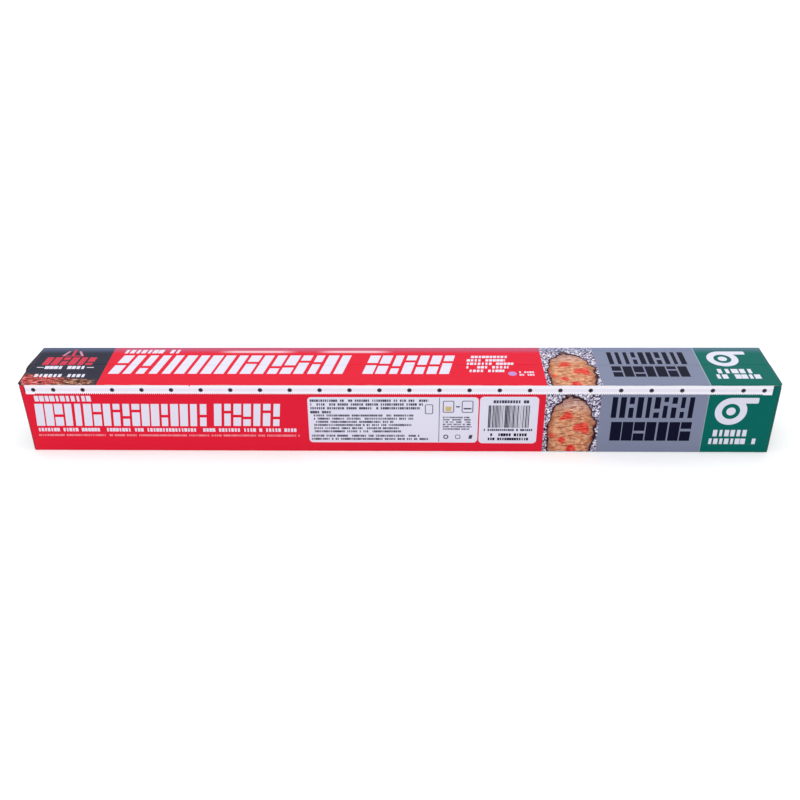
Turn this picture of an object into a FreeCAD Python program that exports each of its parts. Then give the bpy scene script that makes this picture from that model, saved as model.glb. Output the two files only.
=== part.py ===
import FreeCAD, Part
import math
import os

# Boxed kitchen foil: a wound roll on a paper tube, lying loose in a folded carton.
# The front half of the carton's top is the lid. It turns on a crease along the middle of the top,
# and its short front flap carries a toothed steel strip.
# Frame: millimetres, X along the carton, -Y to the front panel, +Z up.
# The origin is the middle of the carton's underside.

# The roll
foil_width = 450.0
foil_build = 1.15        # depth of the wound foil on the tube
core_bore = 34.0
core_wall = 1.2
core_overhang = 2.0      # tube past the foil, each end
core_fit = 0.05          # tube to the innermost turn

# Room round the roll inside the carton
end_clearance = 1.95
side_clearance = 4.05
headroom = 8.8
rest_gap = 0.02          # roll to the carton's floor

# Board and folds
board = 0.45
fold_inner_radius = 0.25
crease_depth = 0.15
crease_offset = 0.4      # crease behind the middle of the top

# Lid
lid_gap = 0.25           # front panel to the lid's flap
lid_flap_height = 5.3
lid_flap_margin = 0.7    # flap past each end of the steel strip
lid_left_overhang = 0.9
lid_right_inset = 0.2
lid_corner = 0.8         # cut corners at the front

# Steel strip
strip_past_foil = 0.5    # strip past the foil's edge, each end
strip_height = 6.25
strip_thickness = 0.2
strip_drop = 0.15        # strip below the top of the lid
strip_shift = -1.05      # strip's middle from the carton's middle
tooth_pitch = 1.25
tooth_depth = 0.9
plain_end = 5.5          # strip with no teeth, each end
nick_place = 101.3       # a nick in the strip's upper edge, from the strip's left end
nick_width = 1.2
nick_depth = 0.9

# Punched stakes that hold the strip on the flap
stake_pitch = 18.1
stake_end_margin = 5.0
stake_end_pitch = 12.4
stake_level = 3.05       # stake above the tooth tips
stake_sides = 8          # a pointed punch tears an eight-sided hole
stake_mouth = 2.3        # across the corners, at the strip's face
stake_bore = 1.7
stake_wall = 0.2
stake_clearance = 0.05

# Glued end flaps
dust_flap_width = 20.5
dust_flap_inset = 1.4
end_flap_side_inset = 0.8
bottom_flap_margin = 2.0     # bottom's end flap below the lid
top_flap_height = 35.0
top_flap_forward = 9.0       # top's end flap past the crease, under the lid
top_flap_taper = 3.0
top_flap_gap = 0.25          # forward part of the flap to the lid
notch_length = 1.6           # cut at each end of the crease
notch_width = 1.2

# Left end: the top's end flap has sprung out of its glue towards the crease
bulge_start = 1.5        # from the flap's rear edge
fold_creep = 1.3         # the fold itself, at the crease
bulge_out = 3.2          # the crest of the bulge
bulge_drop = 0.7         # crest below the flap's edge under the lid
bulge_height = 17.0

# Worked out from the values above
fold_outer_radius = fold_inner_radius + board
core_outer_radius = core_bore / 2 + core_wall
foil_inner_radius = core_outer_radius + core_fit
roll_radius = foil_inner_radius + foil_build
core_length = foil_width + 2 * core_overhang
strip_length = foil_width + 2 * strip_past_foil
dust_face = core_length / 2 + end_clearance + board
bottom_flap_face = dust_face + board
carton_end = bottom_flap_face + board
half_depth = roll_radius + side_clearance + board
carton_height = 2 * roll_radius + headroom + 2 * board
panel_top = carton_height - board
crease_y = crease_offset
flap_face = -half_depth - lid_gap - board
roll_centre_z = board + rest_gap + roll_radius
strip_top = carton_height - strip_drop
tooth_tip = strip_top - strip_height
tooth_root = tooth_tip + tooth_depth
stake_z = tooth_tip + stake_level

along = FreeCAD.Vector(1, 0, 0)
back = FreeCAD.Vector(0, 1, 0)
up = FreeCAD.Vector(0, 0, 1)
origin = FreeCAD.Vector(0, 0, 0)


def point(x, y, z):
    return FreeCAD.Vector(x, y, z)


def box(x, y, z):
    """Box between pairs of limits along each axis."""
    size = (x[1] - x[0], y[1] - y[0], z[1] - z[0])
    return Part.makeBox(*size, point(x[0], y[0], z[0]))


def prism(corners, travel):
    """Flat polygon carried along a vector."""
    return Part.Face(Part.makePolygon(corners + corners[:1])).extrude(travel)


def unit(vector):
    return FreeCAD.Vector(vector).normalize()


def offset_route(route, travel, depth):
    """Route of the board's inner side, to the left of the route as travel points at the viewer."""
    moved = []
    for index, corner in enumerate(route):
        before = unit(corner - route[index - 1]) if index > 0 else None
        after = unit(route[index + 1] - corner) if index < len(route) - 1 else None
        shifts = [unit(travel.cross(leg)) for leg in (before, after) if leg is not None]
        if len(shifts) == 1:
            moved.append(corner + shifts[0] * depth)
        else:
            share = depth / (1 + shifts[0].dot(shifts[1]))
            moved.append(corner + (shifts[0] + shifts[1]) * share)
    return moved


def rounded_edges(route, radius):
    """Edges along a route of corners, each inner corner an arc."""
    edges = []
    start = route[0]
    for index in range(1, len(route) - 1):
        corner = route[index]
        before = unit(route[index - 1] - corner)
        after = unit(route[index + 1] - corner)
        half_angle = before.getAngle(after) / 2
        trim = radius / math.tan(half_angle)
        inward = unit(before + after)
        middle = corner + inward * (radius / math.sin(half_angle) - radius)
        edges.append(Part.LineSegment(start, corner + before * trim).toShape())
        edges.append(Part.Arc(corner + before * trim, middle, corner + after * trim).toShape())
        start = corner + after * trim
    edges.append(Part.LineSegment(start, route[-1]).toShape())
    return edges


def folded_board(route, travel):
    """Board folded along a route of outer corners, as wide as travel is long."""
    inner = offset_route(route, travel, board)
    edges = rounded_edges(route, fold_outer_radius)
    edges.append(Part.LineSegment(route[-1], inner[-1]).toShape())
    edges.extend(rounded_edges(inner, fold_inner_radius))
    edges.append(Part.LineSegment(inner[0], route[0]).toShape())
    wire = Part.Wire(Part.__sortEdges__(edges))
    return Part.Face(wire).extrude(travel)


def mirrored_ends(shape):
    """The shape and its copy at the other end of the carton."""
    return [shape, shape.mirror(origin, along)]


def sleeve():
    """Front panel, bottom, back panel and rear half of the top, folded from one board."""
    route = [
        point(-dust_face, -half_depth, panel_top),
        point(-dust_face, -half_depth, 0),
        point(-dust_face, half_depth, 0),
        point(-dust_face, half_depth, carton_height),
        point(-dust_face, crease_y, carton_height),
    ]
    return folded_board(route, along * (2 * dust_face))


def dust_flaps():
    """Innermost end flaps, folded in from the front and the back panel."""
    low = dust_flap_inset
    route = [
        point(dust_face - dust_flap_width, -half_depth, low),
        point(dust_face, -half_depth, low),
        point(dust_face, -half_depth + dust_flap_width, low),
    ]
    front = folded_board(route, up * (panel_top - dust_flap_inset - low))
    rear = front.mirror(origin, back)
    return mirrored_ends(front) + mirrored_ends(rear)


def bottom_end_flaps():
    """End flaps folded up from the bottom over the dust flaps."""
    edge = half_depth - end_flap_side_inset
    route = [
        point(dust_face - dust_flap_width, edge, 0),
        point(bottom_flap_face, edge, 0),
        point(bottom_flap_face, edge, panel_top - bottom_flap_margin),
    ]
    return mirrored_ends(folded_board(route, back * (-2 * edge)))


def top_flap_outline(x):
    """Outline of a top end flap's flat part: behind the crease, then forward of it under the lid."""
    rear = half_depth - end_flap_side_inset
    low = carton_height - top_flap_height
    return [
        point(x, rear, carton_height - fold_outer_radius),
        point(x, rear - top_flap_taper, low),
        point(x, crease_y - top_flap_forward + top_flap_taper, low),
        point(x, crease_y - top_flap_forward, panel_top - top_flap_gap),
        point(x, crease_y, panel_top - top_flap_gap),
        point(x, crease_y, carton_height - fold_outer_radius),
    ]


def right_top_flap():
    """The top's end flap at the right end, glued flat over the bottom's."""
    rear = half_depth - end_flap_side_inset
    route = [
        point(dust_face - dust_flap_width, crease_y, carton_height),
        point(carton_end, crease_y, carton_height),
        point(carton_end, crease_y, carton_height - 2 * fold_outer_radius),
    ]
    fold = folded_board(route, back * (rear - crease_y))
    return [fold, prism(top_flap_outline(bottom_flap_face), along * board)]


def left_top_flap():
    """The top's end flap at the left end: flat facets that bulge out at the crease, flat on the end below."""
    rear = half_depth - end_flap_side_inset
    low = carton_height - top_flap_height
    under_lid = panel_top - top_flap_gap
    crest_z = under_lid - bulge_drop
    apex = point(-carton_end, rear - bulge_start, carton_height)
    root = point(-carton_end, crease_y, carton_height - bulge_height)
    fold = point(-carton_end - fold_creep, crease_y, carton_height)
    crest = point(-carton_end - bulge_out, crease_y, crest_z)
    under_fold = fold + (crest - fold) * ((carton_height - under_lid) / (carton_height - crest_z))
    tip = point(-carton_end, crease_y - top_flap_forward, under_lid)
    glued = [
        point(-carton_end, rear, carton_height),
        point(-carton_end, rear - top_flap_taper, low),
        point(-carton_end, tip.y + top_flap_taper, low),
        tip,
        root,
        apex,
    ]
    facets = [glued, [apex, fold, crest], [apex, crest, root], [under_fold, crest, tip], [crest, root, tip]]
    inner = -dust_face + dust_flap_width
    top_panel = [
        point(inner, crease_y, panel_top),
        point(inner, rear, panel_top),
        point(-carton_end, rear, panel_top),
        point(-carton_end, apex.y, panel_top),
        point(fold.x, crease_y, panel_top),
    ]
    return [prism(facet, along * board) for facet in facets] + [prism(top_panel, up * board)]


def crease_notches():
    """Small cuts through the top at both ends of the crease."""
    cuts = []
    for end, side in ((carton_end, 1), (-carton_end - fold_creep, -1)):
        corners = [
            point(end + side * notch_length, crease_y - notch_width, panel_top),
            point(end + side * notch_length, crease_y + notch_width, panel_top),
            point(end - side * notch_length, crease_y, panel_top),
        ]
        cuts.append(prism(corners, up * (2 * board)))
    return cuts


def crease_groove():
    """Pressed crease along the top, a shallow V."""
    reach = carton_end + bulge_out + notch_length
    corners = [
        point(-reach, crease_y - crease_depth, carton_height),
        point(-reach, crease_y, carton_height - crease_depth),
        point(-reach, crease_y + crease_depth, carton_height),
    ]
    return prism(corners, along * (2 * reach))


def carton_body():
    """Everything of the folded carton that stays still when the lid opens."""
    flaps = dust_flaps() + bottom_end_flaps() + right_top_flap() + left_top_flap()
    body = sleeve().fuse(flaps).removeSplitter()
    return body.cut(crease_notches() + [crease_groove()])


def strip_ends():
    """Left and right end of the steel strip."""
    middle = strip_shift
    return middle - strip_length / 2, middle + strip_length / 2


def stake_places():
    """X of each punched stake: an even row between one nearer the strip's end at each side."""
    reach = strip_length / 2 - stake_end_margin
    spans = round(2 * (reach - stake_end_pitch) / stake_pitch)
    first = -spans * stake_pitch / 2
    row = [first + index * stake_pitch for index in range(spans + 1)]
    return [strip_shift + x for x in [-reach] + row + [reach]]


def stake_ring(x, width, y):
    """Closed ring of a stake's corners, width across them."""
    corners = []
    for index in range(stake_sides):
        angle = 2 * math.pi * (index + 0.5) / stake_sides
        corners.append(point(x + width / 2 * math.cos(angle), y, stake_z + width / 2 * math.sin(angle)))
    return corners


def stake_prism(x, width, y, length):
    return prism(stake_ring(x, width, y), back * length)


def stake_flare(x, y):
    """Drawn-in mouth of a stake, narrowing to its bore."""
    depth = (stake_mouth - stake_bore) / 2
    rings = [stake_ring(x, stake_mouth, y), stake_ring(x, stake_bore, y + depth)]
    return Part.makeLoft([Part.makePolygon(ring + ring[:1]) for ring in rings], True, True)


def lid():
    """Front half of the top with its front flap, turning on the crease."""
    left = -carton_end - lid_left_overhang
    right = carton_end - lid_right_inset
    route = [
        point(left, crease_y, carton_height),
        point(left, flap_face, carton_height),
        point(left, flap_face, carton_height - lid_flap_height),
    ]
    shape = folded_board(route, along * (right - left))
    strip_left, strip_right = strip_ends()
    deep = (flap_face - board, -half_depth)
    tall = (carton_height - 2 * lid_flap_height, panel_top)
    trims = [
        box((left - board, strip_left - lid_flap_margin), deep, tall),
        box((strip_right + lid_flap_margin, right + board), deep, tall),
        crease_groove(),
    ]
    for end, side in ((left, 1), (right, -1)):
        corners = [
            point(end - side * lid_corner, flap_face - board, panel_top - board),
            point(end + side * (lid_corner + board), flap_face - board, panel_top - board),
            point(end - side * lid_corner, flap_face + lid_corner + board, panel_top - board),
        ]
        trims.append(prism(corners, up * (3 * board)))
    hole = stake_bore + 2 * stake_wall + 2 * stake_clearance
    for x in stake_places():
        trims.append(stake_prism(x, hole, flap_face - board, 3 * board))
    return shape.cut(trims + crease_notches())


def strip_outline():
    """Outline of the steel strip, teeth along its lower edge and a nick in its upper one."""
    left, right = strip_ends()
    y = flap_face
    count = round((strip_length - 2 * plain_end) / tooth_pitch)
    first = strip_shift - count * tooth_pitch / 2
    nick = left + nick_place
    corners = [point(left, y, strip_top), point(left, y, tooth_tip)]
    for index in range(count):
        corners.append(point(first + index * tooth_pitch, y, tooth_tip))
        corners.append(point(first + (index + 0.5) * tooth_pitch, y, tooth_root))
    corners.append(point(first + count * tooth_pitch, y, tooth_tip))
    corners.append(point(right, y, tooth_tip))
    corners.append(point(right, y, strip_top))
    corners.append(point(nick + nick_width / 2, y, strip_top))
    corners.append(point(nick, y, strip_top - nick_depth))
    corners.append(point(nick - nick_width / 2, y, strip_top))
    return corners


def cutter_strip():
    """Steel strip on the flap's face, its punched stakes passing through the flap."""
    plate = prism(strip_outline(), back * -strip_thickness)
    outer = stake_bore + 2 * stake_wall
    face = flap_face - strip_thickness
    collars = []
    holes = []
    for x in stake_places():
        collars.append(stake_prism(x, outer, flap_face, board))
        holes.append(stake_prism(x, stake_bore, face, strip_thickness + board))
        holes.append(stake_flare(x, face))
    return plate.fuse(collars).cut(holes)


def ring(length, outer_radius, inner_radius):
    """Tube along X about the roll's centre line."""
    start = point(-length / 2, 0, roll_centre_z)
    outer = Part.makeCylinder(outer_radius, length, start, along)
    inner = Part.makeCylinder(inner_radius, length, start, along)
    return outer.cut(inner)


def foil_roll():
    """All the foil's turns, wound tight on the tube."""
    return ring(foil_width, roll_radius, foil_inner_radius)


def core_tube():
    """Paper tube that the foil is wound on."""
    return ring(core_length, core_outer_radius, core_bore / 2)


os.makedirs("parts", exist_ok=True)
nodes = {
    "carton_body": carton_body(),
    "lid": lid(),
    "cutter_strip": cutter_strip(),
    "foil_roll": foil_roll(),
    "core_tube": core_tube(),
}
for name, shape in nodes.items():
    shape.exportStep("parts/" + name + ".step")
    limits = shape.BoundBox
    print(name, "valid", shape.isValid(), "solids", len(shape.Solids), "volume", round(shape.Volume, 1))
    print("  x", round(limits.XMin, 2), round(limits.XMax, 2), "y", round(limits.YMin, 2), round(limits.YMax, 2),
          "z", round(limits.ZMin, 2), round(limits.ZMax, 2))
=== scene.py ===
import bpy
import numpy as np
from bpy.props import FloatProperty, FloatVectorProperty, PointerProperty
from mathutils import Matrix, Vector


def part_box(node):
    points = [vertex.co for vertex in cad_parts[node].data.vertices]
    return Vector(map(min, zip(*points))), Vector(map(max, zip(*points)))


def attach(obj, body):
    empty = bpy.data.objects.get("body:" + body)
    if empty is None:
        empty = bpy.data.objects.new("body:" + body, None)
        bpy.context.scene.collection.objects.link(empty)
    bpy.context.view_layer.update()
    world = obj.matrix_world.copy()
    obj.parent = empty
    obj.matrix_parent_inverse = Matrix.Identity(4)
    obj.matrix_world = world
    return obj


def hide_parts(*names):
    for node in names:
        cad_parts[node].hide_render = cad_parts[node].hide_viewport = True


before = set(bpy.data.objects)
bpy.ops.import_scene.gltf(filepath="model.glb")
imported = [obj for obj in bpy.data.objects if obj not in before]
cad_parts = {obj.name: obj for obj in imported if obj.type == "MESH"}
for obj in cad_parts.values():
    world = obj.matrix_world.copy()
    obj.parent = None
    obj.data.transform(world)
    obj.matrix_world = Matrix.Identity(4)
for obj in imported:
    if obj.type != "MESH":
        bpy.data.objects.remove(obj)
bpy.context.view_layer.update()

# A boxed roll of kitchen foil: folded printed board, a toothed steel strip, wound foil on a paper tube.
# Shapes are worked out in millimetres, X along the carton, -Y to the front panel, +Z up.

bl_info = {
    "name": "Boxed foil roll",
    "version": (1, 0, 0),
    "blender": (4, 5, 0),
    "location": "3D View > Sidebar > Foil box",
    "description": "Printed board, steel, foil and paper for a boxed roll of kitchen foil",
    "category": "Object",
}

MM = 0.001
FACE, EDGE, BACK = 0, 1, 2


def node_limits(node):
    """Lowest and highest corner of a CAD node, in millimetres."""
    low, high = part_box(node)
    return np.array(low) / MM, np.array(high) / MM


CARTON_LOW, CARTON_HIGH = node_limits("carton_body")
LID_LOW, LID_HIGH = node_limits("lid")
STRIP_LOW, STRIP_HIGH = node_limits("cutter_strip")
FOIL_LOW, FOIL_HIGH = node_limits("foil_roll")
TUBE_LOW, TUBE_HIGH = node_limits("core_tube")

# Places in the carton that the CAD model fixes
HALF_DEPTH = CARTON_HIGH[1]
TOP = CARTON_HIGH[2]
CREASE = LID_HIGH[1]
END = CARTON_HIGH[0]
LID_FRONT = STRIP_LOW[1] + 0.2
LID_FOLD = TOP - LID_LOW[2]

# Lengths along the unfolded blank, from the lid flap's free edge round to the front panel's
BLANK_CREASE = LID_FOLD + CREASE - LID_FRONT
BLANK_BACK = BLANK_CREASE + HALF_DEPTH - CREASE
BLANK_BOTTOM = BLANK_BACK + TOP
BLANK_FRONT = BLANK_BOTTOM + 2 * HALF_DEPTH

# Borders of the print's fields along the carton
DARK_RIGHT, PICTURE_LEFT, GREY_LEFT, GREEN_LEFT = -182.5, 90.5, 123.8, 187.8


def ink(red, green, blue):
    """Linear colour from the 0 to 255 values that a printer's proof shows."""
    values = np.array([red, green, blue]) / 255
    linear = np.where(values <= 0.04045, values / 12.92, ((values + 0.055) / 1.055) ** 2.4)
    return tuple(float(value) for value in linear)


def size_property(name, description, default):
    return FloatProperty(name=name, description=description, default=default * MM, unit="LENGTH", precision=5)


def colour_property(name, description, red, green, blue):
    return FloatVectorProperty(
        name=name, description=description, default=ink(red, green, blue), subtype="COLOR", size=3, min=0, max=1
    )


class FoilBoxSizes(bpy.types.PropertyGroup):
    """Sizes that the dressed carton adds to the CAD model's."""

    board: size_property("Board", "Thickness of the folded board", 0.45)
    fold_radius: size_property("Fold radius", "Outer radius of each fold", 0.7)
    crease_depth: size_property("Crease depth", "Depth of the pressed hinge crease", 0.15)
    panel_bow: size_property("Panel bow", "Deepest inward bow of the front and the back panel", 0.28)
    lid_bow: size_property("Lid bow", "Deepest sag of the lid between its folds", 0.12)
    corner_cut: size_property("Lid corner cut", "Cut at each front corner of the lid", 2.0)
    fold_creep: size_property("Sprung fold", "How far the left end's fold has crept out at the crease", 0.9)
    lean: size_property("Leaning end", "How far the left end leans out at the front panel's top", 0.9)
    bulge: size_property("Sprung flap", "How far the left end's flap stands out at the crease", 3.2)
    foil_tail_lift: size_property("Foil tail lift", "How far the foil's free end lifts off the roll", 0.9)


class FoilBoxColours(bpy.types.PropertyGroup):
    """Printing inks and bare materials."""

    red: colour_property("Red", "Main field of the print", 232, 32, 58)
    green: colour_property("Green", "Field at the right end", 0, 106, 97)
    grey: colour_property("Grey", "Field beside the green one", 133, 140, 166)
    navy: colour_property("Navy", "Marks on the grey field", 9, 11, 38)
    dark: colour_property("Dark", "Field at the left of the top", 44, 46, 62)
    white: colour_property("White", "White left unprinted under the varnish", 233, 232, 249)
    rose: colour_property("Rose", "Marks on the dark field", 214, 60, 84)
    small_print: colour_property("Small print", "Thin lines on the white panels", 62, 62, 84)
    board_inside: colour_property("Board inside", "Unprinted back of the board", 196, 190, 180)
    board_edge: colour_property("Board edge", "Cut edge of the board", 214, 210, 202)
    steel: colour_property("Steel", "Bright rolled strip", 228, 226, 234)
    steel_band: colour_property("Steel band", "Duller middle of the strip", 204, 200, 214)
    steel_mouth: colour_property("Stake mouth", "Drawn-in mouths of the stakes", 60, 50, 64)
    foil: colour_property("Foil", "Bright side of the foil", 226, 228, 232)
    foil_shade: colour_property("Foil shade", "Foil in its creases", 132, 136, 144)
    paper: colour_property("Tube paper", "Spiral-wound grey paper", 168, 156, 136)
    floor: colour_property("Floor", "Pale studio floor", 232, 232, 234)


# Shapes


def rounded_path(corners, trims, spans, arc_steps=6):
    """Path round a row of corners: straight runs joined by arcs, for one row or a whole stack of rows.

    An arc starts one trim before its corner and ends one trim after it. With a and b those two points, c the
    corner and w the cosine of half the turn, it is ((1-t)^2 a + 2t(1-t)w c + t^2 b) / ((1-t)^2 + 2t(1-t)w + t^2),
    which is part of a circle. A corner with no trim stays sharp. The second result is the length along the
    sharp corners.
    """
    corners = np.asarray(corners, float)
    trims = [0, *trims, 0]
    step = np.diff(corners, axis=-2)
    length = np.linalg.norm(step, axis=-1, keepdims=True)
    along = step / length
    reach = np.concatenate([np.zeros_like(length[..., :1, :]), np.cumsum(length, axis=-2)], axis=-2)
    points, marks = [], []
    for run, count in enumerate(spans):
        share = np.linspace(0, 1, count)[:, None]
        if run > 0 and trims[run] == 0:
            share = share[1:]
        this = slice(run, run + 1)
        distance = trims[run] + (length[..., this, :] - trims[run] - trims[run + 1]) * share
        points.append(corners[..., this, :] + along[..., this, :] * distance)
        marks.append(reach[..., this, :] + distance)
        trim = trims[run + 1]
        if trim == 0:
            continue
        corner = corners[..., run + 1 : run + 2, :]
        before, after = along[..., this, :], along[..., run + 1 : run + 2, :]
        weight = np.sqrt((1 + np.sum(before * after, axis=-1, keepdims=True)) / 2)
        t = np.linspace(0, 1, arc_steps + 2)[1:-1, None]
        first, middle, last = (1 - t) ** 2, 2 * t * (1 - t) * weight, t**2
        blend = first * (corner - before * trim) + middle * corner + last * (corner + after * trim)
        points.append(blend / (first + middle + last))
        marks.append(reach[..., run + 1 : run + 2, :] + trim * (2 * t - 1))
    return np.concatenate(points, axis=-2), np.concatenate(marks, axis=-2)[..., 0]


def outer_side(path):
    """Unit normal at each point of a path, to its right: the mean of the two legs' directions, turned a quarter."""
    leg = np.diff(path, axis=-2)
    leg = leg / np.linalg.norm(leg, axis=-1, keepdims=True)
    along = np.concatenate([leg[..., :1, :], leg[..., :-1, :] + leg[..., 1:, :], leg[..., -1:, :]], axis=-2)
    along = along / np.linalg.norm(along, axis=-1, keepdims=True)
    return np.stack([along[..., 1], -along[..., 0]], axis=-1)


def facing_out(points, quads):
    """The quads, all turned round if the volume that they enclose comes out negative.

    The volume is a sixth of the sum over triangles of a . (b x c).
    """
    corner = points[quads]
    first = np.einsum("ij,ij->i", corner[:, 0], np.cross(corner[:, 1], corner[:, 2])).sum()
    second = np.einsum("ij,ij->i", corner[:, 0], np.cross(corner[:, 2], corner[:, 3])).sum()
    return quads if first + second > 0 else quads[:, ::-1]


def sheet(face, back, blank):
    """Closed sheet of board between two grids of points, its face and its back, with cut edges all round.

    Each cell of a grid is one quad. The edge is a row of quads between the borders of the two grids.
    """
    rows, columns = face.shape[:2]
    count = rows * columns
    index = np.arange(count).reshape(rows, columns)
    cells = np.stack([index[:-1, :-1], index[1:, :-1], index[1:, 1:], index[:-1, 1:]], axis=-1).reshape(-1, 4)
    border = np.concatenate([index[:-1, 0], index[-1, :-1], index[:0:-1, -1], index[0, :0:-1]])
    following = np.roll(border, -1)
    rim = np.stack([following, border, border + count, following + count], axis=-1)
    points = np.concatenate([face.reshape(-1, 3), back.reshape(-1, 3)])
    quads = np.concatenate([cells, rim, cells[:, ::-1] + count])
    part = np.repeat([FACE, EDGE, BACK], [len(cells), len(rim), len(cells)])
    places = np.concatenate([blank.reshape(-1, 2), blank.reshape(-1, 2)])
    return points, facing_out(points, quads), part, places


def ring_shell(grid, part, blank=None):
    """Closed ring: a closed outline carried round a closed path, grid[i, j] being outline point j at stop i."""
    stops, outline = grid.shape[:2]
    index = np.arange(stops * outline).reshape(stops, outline)
    ahead, beside = np.roll(index, -1, axis=0), np.roll(index, -1, axis=1)
    quads = np.stack([index, ahead, np.roll(ahead, -1, axis=1), beside], axis=-1).reshape(-1, 4)
    points = grid.reshape(-1, 3)
    places = np.zeros((len(points), 2)) if blank is None else blank.reshape(-1, 2)
    return points, facing_out(points, quads), np.tile(part, stops), places


def mirrored(shell):
    """The shell at the other end of the carton: x and the place along the blank change sign."""
    points, quads, part, places = shell
    return points * [-1, 1, 1], quads[:, ::-1], part, places * [-1, 1]


def make_piece(name, shells, materials, body, nodes):
    """One mesh object from closed shells, with the blank's coordinates as the attribute blank, in millimetres."""
    offsets = np.cumsum([0] + [len(shell[0]) for shell in shells[:-1]])
    points = np.concatenate([shell[0] for shell in shells]) * MM
    quads = np.concatenate([shell[1] + offset for shell, offset in zip(shells, offsets)])
    part = np.concatenate([shell[2] for shell in shells])
    places = np.concatenate([shell[3] for shell in shells])
    if len(materials) > 3:
        centres = places[quads].mean(axis=1)
        part = np.where(part == FACE, print_zone(*centres.T), part)
    mesh = bpy.data.meshes.new(name)
    mesh.from_pydata(points.tolist(), [], quads.tolist())
    for material in materials:
        mesh.materials.append(material)
    mesh.polygons.foreach_set("material_index", part.astype(np.int32))
    mesh.polygons.foreach_set("use_smooth", part != EDGE)
    attribute = mesh.attributes.new("blank", "FLOAT_VECTOR", "POINT")
    attribute.data.foreach_set("vector", np.pad(places, ((0, 0), (0, 1))).astype(np.float32).ravel())
    mesh.update()
    piece = bpy.data.objects.new(name, mesh)
    bpy.context.scene.collection.objects.link(piece)
    for node in nodes:
        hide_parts(node)
    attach(piece, body)
    return piece


def bow(x, across, depth):
    """Inward bow of a panel: a parabola across it, waves along it, and nothing at its four edges.

    Depth times 4a(1-a), times 0.55 + 0.28 sin + 0.17 sin of two long waves, times 1 - |x / end| to the 8th.
    """
    waves = 0.55 + 0.28 * np.sin(x / 41 + 1) + 0.17 * np.sin(x / 17.5 + 0.4)
    ends = 1 - np.minimum(np.abs(x) / (END - 1), 1) ** 8
    return depth * 4 * across * (1 - across) * waves * ends


def leaned(shell, lean):
    """The shell with the carton's left end leaning out towards the front panel's upper corner.

    X moves out by lean times the height squared, times how far to the front and to the left the point lies.
    """
    points, quads, part, places = shell
    x, y, z = points.T
    share = (z / TOP) ** 2 * np.clip(-y / HALF_DEPTH, 0, 1) * np.clip((-x - 150) / 80, 0, 1)
    return np.stack([x - lean * share, y, z], axis=-1), quads, part, places


def sprung_share(y):
    """How far the left end has sprung open at y: one at the crease, falling to nothing 2.3 mm from the rear
    corner, as one less the 1.7th power, and to nothing 9 mm before the crease, as one less the square.
    """
    to_rear = np.clip((y - CREASE) / (HALF_DEPTH - 2.3 - CREASE), 0, 1)
    to_front = np.clip((CREASE - y) / 9, 0, 1)
    return (1 - to_rear**1.7) * (1 - to_front**2)


def sleeve(sizes):
    """Front panel, bottom, back panel and rear half of the top: one folded path carried along the carton.

    Across the board the path runs down the front, under, up the back and forward to the crease. Its length at
    each end stops where the end flaps' folds begin. The face sinks by the panels' bow and by the crease.
    """
    board, radius = sizes.board / MM, sizes.fold_radius / MM
    side, low, high = HALF_DEPTH, 1.4, TOP - board - 1.4
    step = 0.01
    corners = [(-side, TOP - board), (-side, high + step), (-side, high - step), (-side, low + step)]
    corners += [(-side, low - step), (-side, 0), (0.8 - side - step, 0), (0.8 - side + step, 0)]
    corners += [(side - 0.8 - step, 0), (side - 0.8 + step, 0), (side, 0), (side, low - step), (side, low + step)]
    corners += [(side, high - step), (side, high + step), (side, TOP), (side - 0.8 + step, TOP)]
    corners += [(side - 0.8 - step, TOP), (CREASE + 0.15, TOP), (CREASE, TOP)]
    trims = [radius if corner in ((-side, 0), (side, 0), (side, TOP)) else 0 for corner in corners[1:-1]]
    gaps = np.linalg.norm(np.diff(corners, axis=0), axis=1)
    spans = [16 if gap > 20 else 3 if gap > 1 else 2 for gap in gaps]
    path, mark = rounded_path(corners, trims, spans)
    y, z = path[:, 0], path[:, 1]
    upright = (np.abs(y) > side - 0.01) & (z > low) & (z < high)
    base = (z < 0.01) & (np.abs(y) < side - 0.8)
    roof = (z > TOP - 0.01) & (y < side - 0.8)
    right = np.select([upright, base, roof], [END - 1.6, END - 1.15, END - 0.7], END - 1.0)
    left = right + np.where(roof, sizes.fold_creep / MM * sprung_share(y), 0)
    along = np.linspace(-1, 1, 231)
    x = np.where(along < 0, along * left[:, None], along * right[:, None])
    across = np.select([np.abs(y) > side - 0.01, roof], [z / TOP, (y - CREASE) / (side - CREASE)], 0)
    depth = sizes.panel_bow / MM * np.select([np.abs(y) > side - 0.01, roof], [1.0, 0.5], 0)
    sink = bow(x, np.clip(across, 0, 1)[:, None], depth[:, None])
    normal = outer_side(path)
    face = path[:, None] - normal[:, None] * sink[..., None]
    back = face - normal[:, None] * board
    groove = np.where(roof, np.maximum(sizes.crease_depth / MM - (y - CREASE), 0), 0)
    face[..., 1] -= groove[:, None]
    blank = np.dstack([x, (BLANK_FRONT + TOP - board - mark)[:, None] + 0 * x])
    return sheet(np.dstack([x, face]), np.dstack([x, back]), blank)


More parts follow.
